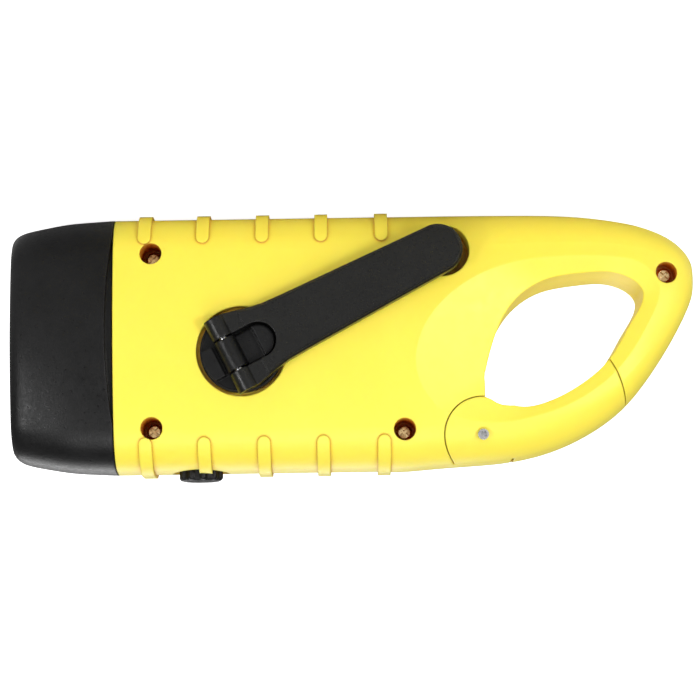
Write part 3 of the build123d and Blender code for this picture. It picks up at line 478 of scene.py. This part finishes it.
class Modeller:
    """Models the fine pieces with edit-mode operators, in place in the shared frame."""

    def __init__(self, wardrobe: Wardrobe) -> None:
        """Keeps the finishes at hand.

        Args:
            wardrobe: The finished materials.
        """
        self.wardrobe = wardrobe

    def bead(self, line: Line, path: list[Vector], radius: float, closed: bool) -> bpy.types.Object:
        """Models a round bead along a path, by extruding one vertex from place to place.

        Args:
            line: Which of the fine lines it is.
            path: Places of the bead's middle line.
            radius: Half the bead's thickness.
            closed: Whether its end meets its start.

        Returns:
            The bead's object, at the origin.
        """
        bpy.ops.object.select_all(action="DESELECT")
        bpy.ops.mesh.primitive_plane_add(size=MM, location=(0.0, 0.0, 0.0))
        piece = bpy.context.object
        piece.name = line.value
        bpy.ops.object.mode_set(mode="EDIT")
        bpy.ops.mesh.select_mode(type="VERT")
        bpy.ops.mesh.select_all(action="SELECT")
        bpy.ops.mesh.merge(type="CENTER")
        bpy.ops.transform.translate(value=path[0])
        for start, end in zip(path, path[1:] + path[:1] if closed else path[1:]):
            bpy.ops.mesh.extrude_region_move(TRANSFORM_OT_translate={"value": end - start})
        bpy.ops.mesh.select_all(action="SELECT")
        bpy.ops.mesh.remove_doubles(threshold=0.01 * MM)
        bpy.ops.object.mode_set(mode="OBJECT")
        bpy.ops.object.convert(target="CURVE")
        piece = bpy.context.object
        piece.data.bevel_depth = radius
        piece.data.bevel_resolution = 3
        bpy.ops.object.convert(target="MESH")
        piece = bpy.context.object
        bpy.ops.object.mode_set(mode="EDIT")
        bpy.ops.mesh.select_all(action="SELECT")
        bpy.ops.mesh.remove_doubles(threshold=0.001 * MM)
        bpy.ops.mesh.normals_make_consistent(inside=False)
        bpy.ops.object.mode_set(mode="OBJECT")
        bpy.ops.object.shade_smooth()
        return piece

    def finish(self, piece: bpy.types.Object, slot: str, body: str) -> None:
        """Dresses a piece and lets it ride on a body of the assembly.

        Args:
            piece: The modelled piece.
            slot: Its material slot.
            body: The body that it moves with.
        """
        self.wardrobe.dress(piece, slot)
        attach(piece, body)
        LOG.info("modelled %s, %d faces", piece.name, len(piece.data.polygons))

    def arm_rim(self, frame: ArmFrame, face_y: float) -> None:
        """Models a thin raised rim along the sides and round the tip of the arm's face.

        Args:
            frame: The crank's own frame.
            face_y: Height of the arm's face.
        """
        side = [*RIM_SIDE, (RIM_TIP, RIM_TIP_RADIUS)]
        arc = [math.pi / 2 - math.pi * k / TIP_STEPS for k in range(1, TIP_STEPS)]
        round_tip = [(RIM_TIP + RIM_TIP_RADIUS * math.cos(a), RIM_TIP_RADIUS * math.sin(a)) for a in arc]
        points = side + round_tip + [(x, -y) for x, y in reversed(side)]
        path = [frame.at(x, y, face_y) for x, y in points]
        self.finish(self.bead(Line.ARM_RIM, path, RIM_THICK, False), "dark_plastic", "arm")

    def hub_ring(self, frame: ArmFrame, face_y: float) -> None:
        """Models a fine raised ring on the hub's disc, round the crank's axis.

        Args:
            frame: The crank's own frame.
            face_y: Height of the disc's face.
        """
        radius = HUB_RING_RADIUS
        turns = [2 * math.pi * k / RING_STEPS for k in range(RING_STEPS)]
        path = [frame.at(radius * math.cos(a), radius * math.sin(a), face_y) for a in turns]
        self.finish(self.bead(Line.HUB_RING, path, RING_THICK, True), "dark_plastic", "crank")


# ---------------------------------------------------------------- studio
@dataclass(frozen=True)
class Lamp:
    """A square soft lamp: degrees to the head's side of the camera's direction, degrees over the
    floor, length of a side in metres and power in watts."""

    name: str
    side: float
    rise: float
    size: float
    power: float


LAMPS = (
    Lamp("tail_lamp", -33.0, 7.0, 0.26, 5.4),
    Lamp("head_lamp", 38.0, 14.0, 0.3, 3.6),
    Lamp("high_lamp", 0.0, 44.0, 0.7, 5.6),
    Lamp("back_lamp", 165.0, 40.0, 0.8, 5.0),
)
MIDDLE_X, MIDDLE_Z = 1.35 * MM, 39.4 * MM  # what the camera aims at
BACKDROP_STEPS = ((0.0, 0.5, 0.25), (0.0, 0.3, 2.2))  # how the floor's far edge climbs


@dataclass
class Studio:
    """Pale floor and backdrop, soft lamps and the photograph's camera."""

    middle: Vector
    distance: float = 0.777
    elevation: float = math.radians(6.9)
    roll: float = math.radians(179.15)
    lens: float = 136.3
    sensor: float = 36.0
    floor_reach: float = 3.0
    wall_y: float = 1.6
    lamp_distance: float = 1.2
    floor_colour: Colour = (0.8, 0.8, 0.8)
    floor_glow: float = 0.95
    ambient: float = 0.26

    def build(self) -> None:
        """Builds the floor, the lamps, the world and the camera."""
        self.floor()
        self.world()
        for lamp in LAMPS:
            self.light(lamp)
        self.camera()

    def floor(self) -> None:
        """A floor that curves up into a backdrop, with white added only where the camera looks."""
        bpy.ops.mesh.primitive_plane_add(size=2 * self.floor_reach, location=(0.0, 0.0, 0.0))
        floor = bpy.context.object
        floor.name = "studio_floor"
        bpy.ops.object.mode_set(mode="EDIT")
        bpy.ops.mesh.select_all(action="SELECT")
        bpy.ops.mesh.bisect(plane_co=(0.0, self.wall_y, 0.0), plane_no=(0.0, 1.0, 0.0), clear_outer=True)
        bpy.ops.object.mode_set(mode="OBJECT")
        for edge in floor.data.edges:
            ends = [floor.data.vertices[v].co.y for v in edge.vertices]
            edge.select = min(ends) > self.wall_y - MM
        bpy.ops.object.mode_set(mode="EDIT")
        bpy.ops.mesh.select_mode(type="EDGE")
        for step in BACKDROP_STEPS:
            bpy.ops.mesh.extrude_region_move(TRANSFORM_OT_translate={"value": step})
        bpy.ops.object.mode_set(mode="OBJECT")
        graph = Graph("studio_white")
        diffuse = graph.add("ShaderNodeBsdfDiffuse")
        diffuse.inputs["Color"].default_value = (*self.floor_colour, 1.0)
        glow = graph.add("ShaderNodeEmission")
        rays = graph.add("ShaderNodeLightPath")
        seen = graph.add("ShaderNodeMath", operation="MAXIMUM")
        graph.link(rays.outputs["Is Camera Ray"], seen.inputs[0])
        graph.link(rays.outputs["Is Transmission Ray"], seen.inputs[1])
        level = graph.add("ShaderNodeMath", operation="MULTIPLY")
        graph.link(seen.outputs[0], level.inputs[0])
        level.inputs[1].default_value = self.floor_glow
        graph.link(level.outputs[0], glow.inputs["Strength"])
        both = graph.add("ShaderNodeAddShader")
        graph.link(diffuse.outputs[0], both.inputs[0])
        graph.link(glow.outputs[0], both.inputs[1])
        graph.link(both.outputs[0], graph.output.inputs["Surface"])
        floor.data.materials.append(graph.material)

    def world(self) -> None:
        """Soft grey light all round, white only where the camera looks, past or through the lens."""
        world = bpy.data.worlds.new("studio_world")
        bpy.context.scene.world = world
        world.use_nodes = True
        nodes, links = world.node_tree.nodes, world.node_tree.links
        background = nodes["Background"]
        background.inputs["Color"].default_value = (1.0, 1.0, 1.0, 1.0)
        rays = nodes.new("ShaderNodeLightPath")
        looks = nodes.new("ShaderNodeMath")
        looks.operation = "MAXIMUM"
        links.new(rays.outputs["Is Camera Ray"], looks.inputs[0])
        links.new(rays.outputs["Is Transmission Ray"], looks.inputs[1])
        strength = nodes.new("ShaderNodeMapRange")
        links.new(looks.outputs[0], strength.inputs["Value"])
        strength.inputs["To Min"].default_value = self.ambient
        strength.inputs["To Max"].default_value = 1.0
        links.new(strength.outputs["Result"], background.inputs["Strength"])

    def light(self, lamp: Lamp) -> None:
        """Adds a lamp that faces the torch.

        Args:
            lamp: Its place, size and power.
        """
        across, up = math.radians(lamp.side), math.radians(lamp.rise)
        way = Vector((math.sin(across) * math.cos(up), -math.cos(across) * math.cos(up), math.sin(up)))
        place = self.middle + way * self.lamp_distance
        bpy.ops.object.light_add(type="AREA", location=place)
        light = bpy.context.object
        light.name = lamp.name
        light.data.shape = "SQUARE"
        light.data.size = lamp.size
        light.data.energy = lamp.power
        light.rotation_euler = (self.middle - place).to_track_quat("-Z", "Y").to_euler()

    def camera(self) -> None:
        """Sets the photograph's camera, turned over because the torch lies upside down there."""
        back = Vector((0.0, -math.cos(self.elevation), math.sin(self.elevation)))
        place = self.middle + back * self.distance
        bpy.ops.object.camera_add(location=place)
        camera = bpy.context.object
        camera.name = "photo_camera"
        aim = (self.middle - place).to_track_quat("-Z", "Y")
        camera.rotation_euler = (aim @ Euler((0.0, 0.0, self.roll)).to_quaternion()).to_euler()
        camera.data.lens = self.lens
        camera.data.sensor_width = self.sensor
        camera.data.clip_start = 0.01
        bpy.context.scene.camera = camera


def main() -> None:
    """Loads the frame, dresses the torch, adds the fine pieces and sets up the studio."""
    logging.basicConfig(level=logging.INFO)
    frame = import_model()
    bpy.ops.object.select_all(action="DESELECT")
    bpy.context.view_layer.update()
    bpy.context.scene.view_settings.view_transform = "Standard"
    wardrobe = Wardrobe()
    wardrobe.dress_nodes(frame)
    gear_low, gear_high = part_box("drive_gear")
    crank = ArmFrame((gear_low.x + gear_high.x) / 2, (gear_low.z + gear_high.z) / 2)
    arm_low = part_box("crank_arm")[0]
    modeller = Modeller(wardrobe)
    modeller.arm_rim(crank, arm_low.y + RIM_RISE)
    modeller.hub_ring(crank, arm_low.y + HUB_RISE)
    middle_y = (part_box("shell_crank_side")[0].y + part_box("shell_far_side")[1].y) / 2
    Studio(Vector((MIDDLE_X, middle_y, MIDDLE_Z))).build()


if __name__ == "__main__":
    main()
